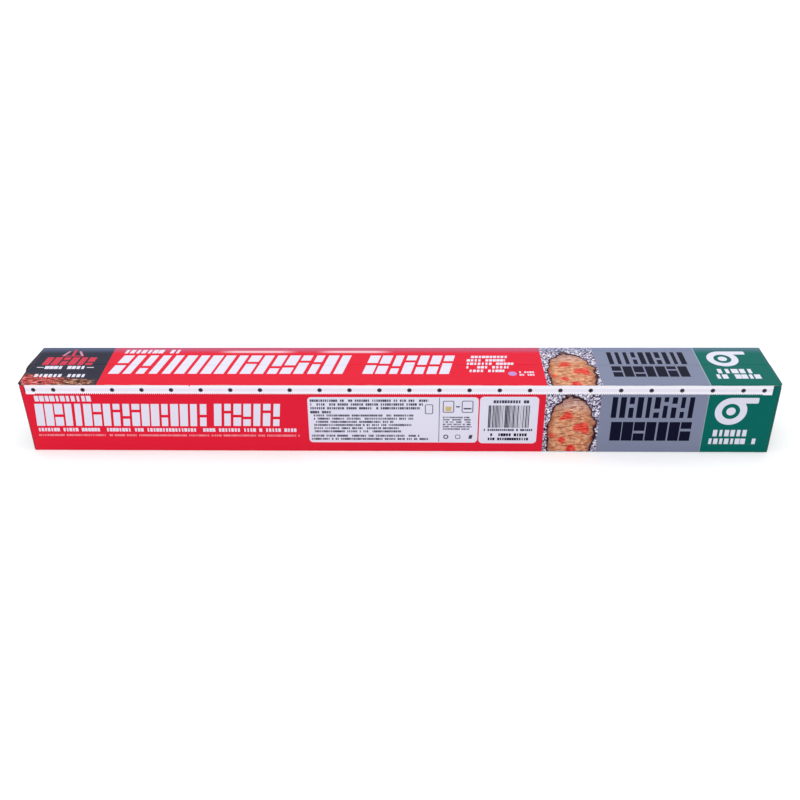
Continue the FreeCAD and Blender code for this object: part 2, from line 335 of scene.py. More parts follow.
def dust_flaps(sizes):
    """Innermost end flaps: a quarter fold from the front and the back panel, then a flat, carried upwards."""
    board, radius = sizes.board / MM, sizes.fold_radius / MM
    face_x = END - 0.9
    corners = [(face_x - radius, -HALF_DEPTH), (face_x, -HALF_DEPTH), (face_x, 20.5 - HALF_DEPTH)]
    path, mark = rounded_path(corners, [radius], [1, 8])
    z = np.linspace(1.4, TOP - board - 1.4, 24)[None, :, None]
    inner = path - outer_side(path) * board
    stack = np.zeros((len(path), z.shape[1], 1))
    face = np.concatenate([path[:, None] + stack, z + stack], axis=-1)
    back = np.concatenate([inner[:, None] + stack, z + stack], axis=-1)
    along = (face_x - radius + mark)[:, None, None] + stack
    shells = []
    for side, start, turn in ((1, BLANK_FRONT, 1), (-1, BLANK_BOTTOM, -1)):
        blank = np.concatenate([along, start + turn * z + stack], axis=-1)
        shell = sheet(face * [1, side, 1], back * [1, side, 1], blank)
        shells += [shell, mirrored(shell)]
    return shells


def bottom_flaps(sizes):
    """End flaps folded up from the bottom over the dust flaps: a quarter fold, then a flat, carried across."""
    board, radius = sizes.board / MM, sizes.fold_radius / MM
    face_x = END - 0.45
    corners = [(face_x - radius, 0), (face_x, 0), (face_x, TOP - board - 2.0)]
    path, mark = rounded_path(corners, [radius], [1, 16])
    y = np.linspace(0.8 - HALF_DEPTH, HALF_DEPTH - 0.8, 24)
    inner = path - outer_side(path) * board
    swell = 0.12 * np.sin(np.pi * np.clip(mark / TOP, 0, 1))[:, None] * np.cos(y / HALF_DEPTH * np.pi / 2)
    grid = np.ones((len(path), len(y)))
    face = np.dstack([path[:, :1] * grid - swell, grid * y, path[:, 1:] * grid])
    back = np.dstack([inner[:, :1] * grid - swell, grid * y, inner[:, 1:] * grid])
    blank = np.dstack([(face_x - radius + mark)[:, None] * grid, grid * (BLANK_BOTTOM + HALF_DEPTH - y)])
    shell = sheet(face, back, blank)
    return [shell, mirrored(shell)]


def top_flap(sizes, sprung):
    """The top's end flap, in a part behind the crease and a part before it that lies under the lid.

    At each stop across the carton the flap is a path from the fold, over the crest of the bulge, to where the
    flap still holds, and down to its free edge. The bulge fades to nothing at the flap's two sides.
    """
    board, radius = sizes.board / MM, sizes.fold_radius / MM
    low, tuck = TOP - 35.0, TOP - board - 0.25
    out = sizes.bulge / MM if sprung else 0.0
    shells = []
    for start, stop, taper, under_lid in ((HALF_DEPTH - 0.8, CREASE, 3.0, False), (CREASE, CREASE - 9.0, -3.0, True)):
        y = np.linspace(start, stop, 30)
        fade = sprung_share(y)
        crest = END + out * fade
        fold = END + (sizes.fold_creep / MM * fade if sprung else 0 * fade)
        hold = TOP - 17.0 + 10.0 * (1 - fade)
        crest_z = np.full_like(y, tuck - 0.7)
        edge_z = np.full_like(y, TOP)
        stop_x, stop_z = np.full_like(y, END), np.full_like(y, low)
        if under_lid:
            fold = (fold + crest) / 2
            edge_z = np.full_like(y, tuck)
            corners = np.stack([fold, edge_z, crest, crest_z, stop_x, hold, stop_x, stop_z], axis=-1)
            corners = corners.reshape(len(y), 4, 2)
            path, mark = rounded_path(corners, [0.3, 4.0], [2, 8, 12])
            mark = mark + TOP - tuck
        else:
            corners = np.stack([fold - radius, edge_z, fold, edge_z, crest, crest_z, stop_x, hold, stop_x, stop_z], axis=-1)
            corners = corners.reshape(len(y), 5, 2)
            path, mark = rounded_path(corners, [radius, 0.3, 4.0], [1, 2, 8, 12])
        inner = path + outer_side(path) * board
        share = np.clip((TOP - path[..., 1]) / 35.0, 0, 1)
        away = np.abs(y - CREASE) / np.abs(start - stop)
        side = y[:, None] - taper * away[:, None] * share
        blank = np.dstack([END - radius + mark, BLANK_CREASE + side - CREASE])
        face = np.dstack([path[..., 0], side, path[..., 1]])
        back = np.dstack([inner[..., 0], side, inner[..., 1]])
        shell = sheet(face, back, blank)
        shells.append(mirrored(shell) if sprung else shell)
    return shells


def lid_flap_limits():
    """Where the lid's front flap starts and stops along the carton."""
    return STRIP_LOW[0] - 0.7, STRIP_HIGH[0] + 0.7


def lid_roof(sizes):
    """The lid's flat top: from the crease to the front fold, and beside the fold to the lid's own edge.

    The face sinks by the lid's sag and by the crease. The front corners are cut at 45 degrees.
    """
    board, fold = sizes.board / MM, LID_FRONT + sizes.fold_radius / MM
    left, right = lid_flap_limits()
    cut = sizes.corner_cut / MM
    middle = np.linspace(left, right, 230)
    low = [LID_LOW[0], LID_LOW[0] + cut, left - 0.01]
    high = [right + 0.01, LID_HIGH[0] - cut, LID_HIGH[0]]
    x = np.concatenate([low, middle, high])
    edge = [LID_FRONT + cut, LID_FRONT, LID_FRONT]
    front = np.concatenate([edge, np.full_like(middle, fold), edge[::-1]])
    share = np.concatenate([[0, 0.006], np.linspace(0.03, 1, 22)])[:, None]
    y = CREASE + (front - CREASE) * share
    across = np.clip((y - fold) / (CREASE - fold), 0, 1)
    z = TOP - bow(x, across, sizes.lid_bow / MM)
    groove = np.maximum(sizes.crease_depth / MM - (CREASE - y), 0)
    x = x + 0 * y
    blank = np.dstack([x, BLANK_CREASE - CREASE + y])
    return sheet(np.dstack([x, y, z - groove]), np.dstack([x, y, z - board]), blank)


def lid_fold(sizes):
    """The quarter fold from the lid's flat top down to its front flap."""
    board, radius = sizes.board / MM, sizes.fold_radius / MM
    corners = [(LID_FRONT + radius, TOP), (LID_FRONT, TOP), (LID_FRONT, TOP - 1.0)]
    path, mark = rounded_path(corners, [radius], [1, 2])
    inner = path - outer_side(path) * board
    x = np.linspace(*lid_flap_limits(), 230)[None, :, None]
    stack = np.zeros((len(path), x.shape[1], 1))
    face = np.concatenate([x + stack, path[:, None] + stack], axis=-1)
    back = np.concatenate([x + stack, inner[:, None] + stack], axis=-1)
    along = (BLANK_CREASE - CREASE + LID_FRONT + radius - mark)[:, None, None]
    return sheet(face, back, np.concatenate([x + stack, along + stack], axis=-1))


def stake_places():
    """X of each punched stake: an even row between one nearer the strip's end at each side."""
    middle, half = (STRIP_LOW[0] + STRIP_HIGH[0]) / 2, (STRIP_HIGH[0] - STRIP_LOW[0]) / 2 - 5.0
    count = round(2 * (half - 12.4) / 18.1)
    row = (np.arange(count + 1) - count / 2) * 18.1
    return middle + np.concatenate([[-half], row, [half]])


def flap_patches(sizes):
    """The lid's flap round its punched holes: a rectangle for each hole, cut out by a circle.

    A patch is a ring whose outline has four points: face and back at the rectangle's border, face and back at
    the hole's. The circle's points lie at the same angles as the border's.
    """
    board = sizes.board / MM
    left, right = lid_flap_limits()
    stakes = stake_places()
    centre_z = STRIP_LOW[2] + 3.05
    splits = np.concatenate([[left], (stakes[1:] + stakes[:-1]) / 2, [right]])
    shells = []
    for centre, start, stop in zip(stakes, splits[:-1], splits[1:]):
        t, s = np.linspace(0, 1, 13)[:-1], np.linspace(0, 1, 7)[:-1]
        x = np.concatenate([start + (stop - start) * t, stop + 0 * s, stop - (stop - start) * t, start + 0 * s])
        low, rise = LID_LOW[2], TOP - 1.0 - LID_LOW[2]
        z = low + np.concatenate([0 * t, rise * s, rise + 0 * t, rise - rise * s])
        angle = np.arctan2(z - centre_z, x - centre)
        hole_x, hole_z = centre + 1.09 * np.cos(angle), centre_z + 1.09 * np.sin(angle)
        y = np.full_like(x, LID_FRONT)
        outline = [(x, y, z), (hole_x, y, hole_z), (hole_x, y + board, hole_z), (x, y + board, z)]
        grid = np.stack([np.stack(point, axis=-1) for point in outline], axis=1)
        blank = np.stack([grid[..., 0], grid[..., 2] - low], axis=-1)
        shells.append(ring_shell(grid, [FACE, EDGE, BACK, EDGE], blank))
    return shells


def stake_lips():
    """The stakes' torn metal: lips pressed over on the flap's inner side and petals bent across the hole.

    An outline in radius and depth is carried round. With p the absolute sine of twice the angle, the petals'
    inner radius grows by 1.5 p, and the lips' outer radius shrinks by a tenth of p.
    """
    lips = [(1.03, -0.1), (1.24, 0.0), (1.32, 0.08), (1.27, 0.14), (1.12, 0.12), (0.95, 0.02)]
    petals = [(0.2, -0.12), (0.16, -0.2), (0.88, -0.3), (0.92, -0.5), (1.02, -0.5)]
    outline = np.array(lips + petals)
    angle = np.linspace(0, 2 * np.pi, 49)[:-1, None]
    wave = np.abs(np.sin(2 * angle))
    free = np.clip((outline[:, 1] + 0.06) / 0.14, 0, 1) * (outline[:, 0] > 1)
    inward = outline[:, 0] < 0.5
    radius = outline[:, 0] * (1 + 0.13 * free - 0.1 * free * wave + 1.5 * inward * wave)
    depth = STRIP_HIGH[1] + outline[:, 1] * (1 - 0.35 * free * wave)
    shells = []
    for centre in stake_places():
        x, z = centre + radius * np.cos(angle), STRIP_LOW[2] + 3.05 + radius * np.sin(angle)
        shells.append(ring_shell(np.dstack([x, depth, z]), [FACE] * outline.shape[0]))
    return shells


def wound_ring(radii, low, high, ragged, lift, stops=192, columns=91):
    """Tube wound about the roll's centre line: an outline of outer side, end, bore and end, carried round.

    The outer radius falls by lap as the angle goes once round, so the free end is a step, and near it the
    radius rises by lift times a smooth bump. The ends are ragged: x moves in by ragged times a wavy noise.
    """
    inner, outer = radii
    ends = np.linspace(outer, inner, 9)[1:-1]
    x_outer = np.linspace(low, high, columns)
    x_inner = np.linspace(high, low, 24)
    outline_x = np.concatenate([x_outer, np.full(7, high), x_inner, np.full(7, low)])
    outline_r = np.concatenate([np.full(columns, outer), ends, np.full(24, inner), ends[::-1]])
    is_outer = np.arange(len(outline_x)) < columns
    angle = np.linspace(0, 2 * np.pi, stops + 1)[:-1, None]
    turn = angle / (2 * np.pi)
    near_end = np.clip((turn - 0.93) / 0.07, 0, 1)
    wave = 0.6 + 0.4 * np.sin(outline_x / 23 + 0.7) * np.sin(outline_x / 61)
    radius = outline_r - np.where(is_outer, 0.04 * (1 - turn) * (lift > 0), 0)
    radius = radius + np.where(is_outer, lift * near_end**2 * wave, 0)
    at_end = (outline_x == high).astype(float) - (outline_x == low)
    noise = 0.5 + 0.5 * np.sin(outline_r * 41 + 3 * np.sin(angle * 3 + outline_r * 7))
    x = outline_x - at_end * ragged * noise
    start = angle + np.radians(250)
    centre_z = (FOIL_LOW[2] + FOIL_HIGH[2]) / 2
    grid = np.dstack([x + 0 * angle, radius * np.cos(start), centre_z + radius * np.sin(start)])
    return ring_shell(grid, [FACE] * len(outline_x))


# Materials


class Nodes:
    """Short calls that add nodes to one tree and link them."""

    def __init__(self, tree):
        self.tree = tree

    def add(self, kind, **settings):
        node = self.tree.nodes.new(kind)
        for name, value in settings.items():
            setattr(node, name, value)
        return node

    def put(self, socket, value):
        """Links a socket to another's output, or sets it to a number or a colour."""
        if isinstance(value, bpy.types.NodeSocket):
            self.tree.links.new(value, socket)
        elif value is not None:
            if socket.type == "RGBA" and len(value) == 3:
                value = (*value, 1)
            socket.default_value = value

    def math(self, operation, first, second=None, third=None, clamp=False):
        node = self.add("ShaderNodeMath", operation=operation, use_clamp=clamp)
        for socket, value in zip(node.inputs, (first, second, third)):
            self.put(socket, value)
        return node.outputs[0]

    def plus(self, first, second):
        return self.math("ADD", first, second)

    def minus(self, first, second):
        return self.math("SUBTRACT", first, second)

    def times(self, first, second):
        return self.math("MULTIPLY", first, second)

    def over(self, first, second):
        return self.math("DIVIDE", first, second)

    def least(self, first, *others):
        for other in others:
            first = self.math("MINIMUM", first, other)
        return first

    def most(self, first, *others):
        for other in others:
            first = self.math("MAXIMUM", first, other)
        return first

    def size(self, value):
        return self.math("ABSOLUTE", value)

    def split(self, vector):
        node = self.add("ShaderNodeSeparateXYZ")
        self.put(node.inputs[0], vector)
        return node.outputs

    def join(self, x, y, z=0.0):
        node = self.add("ShaderNodeCombineXYZ")
        for socket, value in zip(node.inputs, (x, y, z)):
            self.put(socket, value)
        return node.outputs[0]

    def scaled(self, vector, scale):
        node = self.add("ShaderNodeVectorMath", operation="MULTIPLY")
        self.put(node.inputs[0], vector)
        self.put(node.inputs[1], scale)
        return node.outputs[0]

    def distance(self, vector, place):
        node = self.add("ShaderNodeVectorMath", operation="DISTANCE")
        self.put(node.inputs[0], vector)
        self.put(node.inputs[1], place)
        return node.outputs["Value"]

    def mix(self, share, first, second):
        node = self.add("ShaderNodeMix", data_type="RGBA")
        self.put(node.inputs["Factor"], share)
        self.put(node.inputs[6], first)
        self.put(node.inputs[7], second)
        return node.outputs[2]

    def smooth(self, value, low, high, to_low=0.0, to_high=1.0):
        """Smooth step of a value, from to_low at low to to_high at high."""
        node = self.add("ShaderNodeMapRange", interpolation_type="SMOOTHSTEP")
        for socket, number in zip(node.inputs, (value, low, high, to_low, to_high)):
            self.put(socket, number)
        return node.outputs[0]

    def edge(self, inside):
        """Mask from a distance in millimetres, positive inside the shape."""
        return self.smooth(inside, -0.05, 0.05)

    def noise(self, vector, scale, detail=3.0, roughness=0.5):
        node = self.add("ShaderNodeTexNoise")
        self.put(node.inputs["Vector"], vector)
        self.put(node.inputs["Scale"], scale)
        self.put(node.inputs["Detail"], detail)
        self.put(node.inputs["Roughness"], roughness)
        return node.outputs[0]

    def facets(self, vector, scale):
        """Random value for each cell of a cellular pattern."""
        node = self.add("ShaderNodeTexVoronoi")
        self.put(node.inputs["Vector"], vector)
        self.put(node.inputs["Scale"], scale)
        return self.split(node.outputs["Color"])[0]

    def random(self, vector):
        node = self.add("ShaderNodeTexWhiteNoise", noise_dimensions="3D")
        self.put(node.inputs["Vector"], vector)
        return node.outputs["Value"]

    def place(self, group, **values):
        """Places a node group with its named values; an underscore stands for a space."""
        node = self.add("ShaderNodeGroup", node_tree=group)
        for name, value in values.items():
            self.put(node.inputs[name.replace("_", " ")], value)
        return node


def new_group(name, inputs, outputs):
    """An empty node group with named sockets, and the inputs and the outputs inside it."""
    tree = bpy.data.node_groups.new(name, "ShaderNodeTree")
    kinds = {"value": "NodeSocketFloat", "vector": "NodeSocketVector", "colour": "NodeSocketColor"}
    for label, kind in inputs.items():
        tree.interface.new_socket(label, in_out="INPUT", socket_type=kinds[kind])
    for label, kind in outputs.items():
        tree.interface.new_socket(label, in_out="OUTPUT", socket_type=kinds[kind])
    nodes = Nodes(tree)
    entry = nodes.add("NodeGroupInput").outputs
    leave = nodes.add("NodeGroupOutput").inputs
    return tree, nodes, entry, leave


def new_material(name):
    """A material with one Principled BSDF; its nodes and the BSDF's inputs."""
    material = bpy.data.materials.new(name)
    material.use_nodes = True
    shader = material.node_tree.nodes["Principled BSDF"]
    return material, Nodes(material.node_tree), shader.inputs


def bumped(nodes, height, strength, distance):
    node = nodes.add("ShaderNodeBump")
    nodes.put(node.inputs["Strength"], strength)
    nodes.put(node.inputs["Distance"], distance)
    nodes.put(node.inputs["Height"], height)
    return node.outputs[0]


def object_place(nodes, scale=(1, 1, 1)):
    """Object coordinates, stretched by a scale along each axis."""
    return nodes.scaled(nodes.add("ShaderNodeTexCoord").outputs["Object"], scale)


def fibre_grain():
    """Group: fine paper fibres as a height, and slow blotches as a value, both about one half."""
    tree, nodes, entry, leave = new_group(
        "Fibre grain", {"Place": "vector", "Scale": "value"}, {"Height": "value", "Blotches": "value"}
    )
    nodes.put(leave["Height"], nodes.noise(entry["Place"], entry["Scale"], 6.0, 0.65))
    slow = nodes.times(entry["Scale"], 0.06)
    nodes.put(leave["Blotches"], nodes.noise(entry["Place"], slow, 2.0))
    return tree


def slanted_box():
    """Group: mask of a rounded box that leans by Slant for each millimetre up.

    With p the distances past the box drawn in by Corner, the distance outside is |max(p, 0)| + min(max(p), 0),
    less Corner.
    """
    sockets = dict.fromkeys(("Left", "Right", "Low", "High", "Slant", "Corner"), "value")
    tree, nodes, entry, leave = new_group("Slanted box", {"Place": "vector", **sockets}, {"Mask": "value"})
    x, y, _ = nodes.split(entry["Place"])
    x = nodes.minus(x, nodes.times(nodes.minus(y, entry["Low"]), entry["Slant"]))
    past = []
    for value, low, high in ((x, "Left", "Right"), (y, "Low", "High")):
        inside = nodes.least(nodes.minus(value, entry[low]), nodes.minus(entry[high], value))
        past.append(nodes.minus(entry["Corner"], inside))
    squares = [nodes.math("POWER", nodes.most(value, 0.0), 2.0) for value in past]
    length = nodes.math("SQRT", nodes.plus(*squares))
    outside = nodes.plus(length, nodes.least(nodes.most(*past), 0.0))
    nodes.put(leave["Mask"], nodes.edge(nodes.minus(entry["Corner"], outside)))
    return tree


def block_rows():
    """Group: mask of lines of blocks, one to a cell, whose widths vary at random between Least and Most.

    A line takes up Line share of Line pitch. Cells below the share Gaps stay empty. Half of the blocks are
    slit across, and a line stops short of Right by up to Ragged.
    """
    names = ("Left", "Right", "Low", "High", "Slant", "Line pitch", "Line share", "Pitch", "Least", "Most")
    sockets = dict.fromkeys((*names, "Slit", "Gaps", "Ragged", "Seed"), "value")
    tree, nodes, entry, leave = new_group("Block rows", {"Place": "vector", **sockets}, {"Mask": "value"})
    x, y, _ = nodes.split(entry["Place"])
    x = nodes.minus(x, nodes.times(nodes.minus(y, entry["Low"]), entry["Slant"]))
    line = nodes.over(nodes.minus(entry["High"], y), entry["Line pitch"])
    cell = nodes.over(nodes.minus(x, entry["Left"]), entry["Pitch"])
    line_number, cell_number = nodes.math("FLOOR", line), nodes.math("FLOOR", cell)
    chance = nodes.random(nodes.join(cell_number, line_number, entry["Seed"]))
    second = nodes.random(nodes.join(line_number, entry["Seed"], cell_number))
    half = nodes.smooth(chance, 0.0, 1.0, nodes.times(entry["Least"], 0.5), nodes.times(entry["Most"], 0.5))
    across = nodes.minus(half, nodes.size(nodes.minus(nodes.math("FRACT", cell), 0.5)))
    down = nodes.math("FRACT", line)
    down = nodes.least(down, nodes.minus(entry["Line share"], down))
    short = nodes.times(entry["Ragged"], nodes.random(nodes.join(line_number, entry["Seed"])))
    end = nodes.minus(nodes.minus(entry["Right"], short), x)
    limits = nodes.least(nodes.minus(y, entry["Low"]), nodes.minus(entry["High"], y))
    limits = nodes.least(limits, nodes.minus(x, entry["Left"]), end)
    inside = nodes.least(nodes.times(across, entry["Pitch"]), nodes.times(down, entry["Line pitch"]), limits)
    kept = nodes.math("GREATER_THAN", chance, entry["Gaps"])
    level = nodes.smooth(second, 0.5, 1.0, 0.35, 0.68)
    level = nodes.plus(entry["Low"], nodes.times(level, nodes.minus(entry["High"], entry["Low"])))
    slit = nodes.minus(nodes.times(entry["Slit"], 0.5), nodes.size(nodes.minus(y, level)))
    whole = nodes.most(nodes.math("LESS_THAN", second, 0.5), nodes.math("LESS_THAN", slit, 0.0))
    nodes.put(leave["Mask"], nodes.times(nodes.times(nodes.edge(inside), kept), whole))
    return tree


def crumpled_picture():
    """Group: a loose picture of something roasted in crumpled foil, in a field 33 mm wide.

    Place runs along the field and up the side in millimetres. The roast is where a stretched distance from its
    middle, bent by noise, stays below one.
    """
    tree, nodes, entry, leave = new_group("Crumpled picture", {"Place": "vector"}, {"Colour": "colour"})
    place = entry["Place"]
    x, y, _ = nodes.split(place)
    slow = nodes.noise(place, 0.12, 2.0)
    facet = nodes.facets(place, 1.25)
    crease = nodes.noise(nodes.scaled(place, (1.3, 0.9, 1.0)), 1.1, 3.0, 0.7)
    glint = nodes.plus(nodes.times(facet, 0.6), nodes.plus(nodes.times(crease, 0.5), nodes.times(slow, 0.25)))
    silver = nodes.mix(nodes.smooth(glint, 0.47, 0.7), ink(44, 32, 74), ink(156, 146, 178))
    silver = nodes.mix(nodes.smooth(glint, 0.72, 0.88), silver, ink(246, 244, 252))
    crust = nodes.noise(place, 0.32, 5.0, 0.65)
    low, high = (nodes.mix(nodes.smooth(y, 26.0, 38.0), *pair) for pair in (
        (ink(208, 132, 92), ink(224, 180, 166)), (ink(246, 190, 152), ink(250, 224, 212))
    ))
    roast = nodes.mix(nodes.smooth(crust, 0.36, 0.64), low, high)
    fibre = nodes.noise(nodes.scaled(place, (0.28, 1.5, 1.0)), 0.75, 4.0, 0.62)
    roast = nodes.mix(nodes.smooth(fibre, 0.5, 0.62, 0.0, 0.9), roast, ink(132, 56, 34))
    fruit = nodes.plus(nodes.noise(place, 0.09, 1.0), nodes.times(crust, 0.25))
    fruit = nodes.minus(fruit, nodes.smooth(y, 28.0, 36.0, 0.0, 0.3))
    red = nodes.mix(nodes.smooth(fibre, 0.4, 0.58), ink(250, 106, 84), ink(206, 30, 40))
    roast = nodes.mix(nodes.smooth(fruit, 0.64, 0.72), roast, red)
    leaf = nodes.noise(place, 1.3, 1.0)
    roast = nodes.mix(nodes.smooth(leaf, 0.68, 0.74), roast, ink(70, 72, 34))
    stretched = nodes.join(nodes.over(x, 14.5), nodes.over(y, 27.0))
    reach = nodes.plus(nodes.distance(stretched, (1.16, 0.5, 0.0)), nodes.times(slow, 0.5))
    reach = nodes.plus(reach, nodes.times(crust, 0.12))
    shaded = nodes.mix(nodes.smooth(reach, 0.95, 1.3, 0.0, 0.55), roast, ink(120, 50, 44))
    rim = nodes.mix(nodes.smooth(reach, 1.24, 1.3), shaded, ink(44, 22, 34))
    nodes.put(leave["Colour"], nodes.mix(nodes.smooth(reach, 1.32, 1.36), rim, silver))
    return tree


def glowing_embers():
    """Group: streaks and specks of ember colours, in millimetres: salmon on the left, olive and cream further on."""
    tree, nodes, entry, leave = new_group("Glowing embers", {"Place": "vector"}, {"Colour": "colour"})
    place = entry["Place"]
    along = nodes.split(place)[0]
    streaks = nodes.noise(nodes.scaled(place, (0.3, 1.0, 1.0)), 0.85, 4.0, 0.72)
    patches = nodes.noise(place, 0.28, 2.0)
    further = nodes.smooth(nodes.plus(along, nodes.times(patches, 24.0)), -204.0, -188.0)
    glow = nodes.mix(further, ink(212, 78, 76), ink(150, 88, 64))
    pale = nodes.mix(further, ink(250, 176, 172), ink(238, 206, 176))
    lit = nodes.plus(streaks, nodes.times(nodes.minus(patches, 0.5), 0.35))
    embers = nodes.mix(nodes.smooth(lit, 0.4, 0.53), ink(26, 16, 24), glow)
    nodes.put(leave["Colour"], nodes.mix(nodes.smooth(lit, 0.55, 0.64), embers, pale))
    return tree


def print_fields(inks):
    """Group: the fields of colour across the unfolded blank, u along the carton and v round it."""
    tree, nodes, entry, leave = new_group("Print fields", {"Blank": "vector"}, {"Colour": "colour"})
    u, v, _ = nodes.split(entry["Blank"])
    side = nodes.times(nodes.math("FRACT", nodes.over(nodes.minus(v, LID_FOLD), TOP)), TOP)
    behind = nodes.least(nodes.math("GREATER_THAN", v, BLANK_BACK), nodes.math("LESS_THAN", v, BLANK_BOTTOM))
    side = nodes.plus(side, nodes.times(behind, nodes.minus(TOP, nodes.times(side, 2.0))))
    picture = nodes.place(crumpled_picture(), Place=nodes.join(nodes.minus(u, PICTURE_LEFT), side)).outputs[0]
    embers = nodes.place(glowing_embers(), Place=entry["Blank"]).outputs[0]
    colour = nodes.mix(nodes.edge(nodes.minus(u, PICTURE_LEFT)), tuple(inks.red), picture)
    colour = nodes.mix(nodes.edge(nodes.minus(u, GREY_LEFT)), colour, tuple(inks.grey))
    colour = nodes.mix(nodes.edge(nodes.minus(u, GREEN_LEFT)), colour, tuple(inks.green))
    band = nodes.minus(nodes.minus(20.1, v), nodes.times(nodes.plus(u, 232.9), 0.178))
    band = nodes.least(band, nodes.times(nodes.minus(-184.5, u), 0.4))
    wisps = nodes.noise(nodes.scaled(entry["Blank"], (0.4, 1.2, 1.0)), 0.5, 3.0, 0.6)
    band = nodes.plus(band, nodes.times(nodes.minus(wisps, 0.5), 7.0))
    dark = nodes.mix(nodes.smooth(band, -1.0, 2.2), tuple(inks.dark), embers)
    top_left = nodes.least(nodes.minus(DARK_RIGHT, u), nodes.minus(BLANK_BACK, v))
    corner = nodes.plus(nodes.plus(u, END), nodes.times(nodes.minus(v, LID_FOLD), 0.5))
    dark = nodes.mix(nodes.smooth(corner, 1.6, 2.8, 1.0, 0.0), dark, ink(20, 14, 20))
    colour = nodes.mix(nodes.edge(top_left), colour, dark)
    nodes.put(leave["Colour"], nodes.mix(nodes.smooth(u, -END - 0.7, -END + 0.3, 1.0, 0.0), colour, ink(13, 13, 19)))
    return tree


class Press:
    """Prints plain shapes over a colour, one after another, with places and sizes in millimetres."""

    def __init__(self, nodes, place, colour):
        self.nodes, self.place, self.colour = nodes, place, colour
        self.seed = 0

    def lay(self, ink_colour, mask):
        self.colour = self.nodes.mix(mask, self.colour, ink_colour)

    def box(self, ink_colour, left, right, low, high, slant=0.0, corner=0.0):
        values = {"Left": left, "Right": right, "Low": low, "High": high, "Slant": slant, "Corner": corner}
        group = bpy.data.node_groups["Slanted box"]
        self.lay(ink_colour, self.nodes.place(group, Place=self.place, **values).outputs[0])

    def frame(self, ink_colour, inner_colour, left, right, low, high, line):
        self.box(ink_colour, left, right, low, high, corner=1.0)
        self.box(inner_colour, left + line, right - line, low + line, high - line, corner=1.0 - line)

    def ring(self, ink_colour, x, y, outer, inner=-1.0):
        distance = self.nodes.distance(self.place, (x, y, 0.0))
        inside = self.nodes.least(self.nodes.minus(outer, distance), self.nodes.minus(distance, inner))
        self.lay(ink_colour, self.nodes.edge(inside))

    def blocks(self, ink_colour, left, right, low, high, pitch, widths, slant=0.0, slit=0.0, **more):
        """Blocks about one pitch apart; widths are the least and the most share of a pitch that a block takes."""
        self.seed += 1
        pitch = (right - left) / round((right - left) / pitch)
        values = {"Line pitch": high - low, "Line share": 1.0, "Gaps": 0.0, "Ragged": 0.0, **more}
        values |= {"Left": left, "Right": right, "Low": low, "High": high, "Slant": slant, "Slit": slit}
        values |= {"Pitch": pitch, "Least": widths[0], "Most": widths[1], "Seed": self.seed}
        group = bpy.data.node_groups["Block rows"]
        self.lay(ink_colour, self.nodes.place(group, Place=self.place, **values).outputs[0])

    def text(self, ink_colour, left, right, low, high, lines=1, share=0.62, ragged=0.0, slant=0.0):
        """Lines of small uneven blocks with gaps here and there, like print too small to read."""
        share = 1.0 if lines == 1 else share
        line_pitch = (high - low) / (lines - 1 + share)
        more = {"Line pitch": line_pitch, "Line share": share, "Gaps": 0.14, "Ragged": ragged}
        self.blocks(ink_colour, left, right, low, high, 0.78 * share * line_pitch, (0.45, 0.95), slant, **more)


def print_top(press, inks):
    """Shapes on the top, x along it and y from the crease to the rear."""
    white, rose, navy = tuple(inks.white), tuple(inks.rose), tuple(inks.navy)
    pale_rose = ink(206, 150, 176)
    print_silver_band(press)
    press.box(pale_rose, -214.6, -213.0, 12.4, 18.6, 0.5, 0.7)
    press.box(rose, -208.4, -206.6, 12.4, 20.6, 0.0, 0.8)
    press.box(pale_rose, -202.0, -200.4, 12.4, 18.6, -0.5, 0.7)
    press.box(rose, -214.6, -200.4, 11.8, 12.8, 0.0, 0.5)
    press.blocks(rose, -224.6, -191.6, 0.4, 10.5, 5.4, (0.66, 0.84), 0.12, slit=1.4)
    press.text(white, -220.8, -195.2, -4.7, -0.9)
    press.box(white, -225.8, -221.6, -3.1, -2.3)
    press.box(white, -194.2, -189.7, -3.1, -2.3)
    press.text(white, -224.4, -192.1, -14.8, -11.1)
    press.text(white, -175.8, -139.1, 15.8, 20.4, slant=0.2)
    press.blocks(white, -179.6, -32.0, -10.6, 13.0, 8.2, (0.62, 0.84), 0.2, slit=2.8)
    press.blocks(white, -21.8, 33.0, -10.5, 13.0, 8.2, (0.62, 0.84), 0.2, slit=2.8)
    press.text(white, 42.0, 79.0, -8.2, 12.6, lines=5, share=0.66, ragged=13.0, slant=0.12)
    press.ring(ink(196, 150, 214), 71.0, -10.2, 2.6)
    press.text(white, 75.0, 84.5, -12.6, -7.4, lines=2)
    press.box(ink(166, 178, 192), 187.3, 187.8, -25.0, 24.0)
    press.blocks(navy, 131.2, 180.6, 1.7, 17.2, 4.9, (0.46, 0.7), slit=2.6)
    press.blocks(navy, 131.8, 178.8, -13.9, -1.0, 6.6, (0.8, 0.92), slit=1.6)
    roll_sign(press, white, tuple(inks.green), 203.0, 8.6)
    press.text(white, 194.9, 217.6, -9.6, -4.3)
    press.text(white, 193.0, 220.2, -16.1, -11.0)


def print_silver_band(press):
    """Soft silver band along the top's rear edge, with two pale streaks in it."""
    nodes = press.nodes
    x, y, _ = nodes.split(press.place)
    press.lay(ink(112, 130, 170), nodes.smooth(y, 15.0, 21.5, 0.0, 0.38))
    across = nodes.smooth(nodes.size(nodes.minus(y, 17.8)), 0.4, 2.2, 0.85, 0.0)
    for left, right in ((-116.0, -62.0), (-53.0, -1.0)):
        inside = nodes.least(nodes.minus(x, left), nodes.minus(right, x))
        press.lay(ink(250, 214, 226), nodes.times(across, nodes.smooth(inside, 0.0, 14.0)))


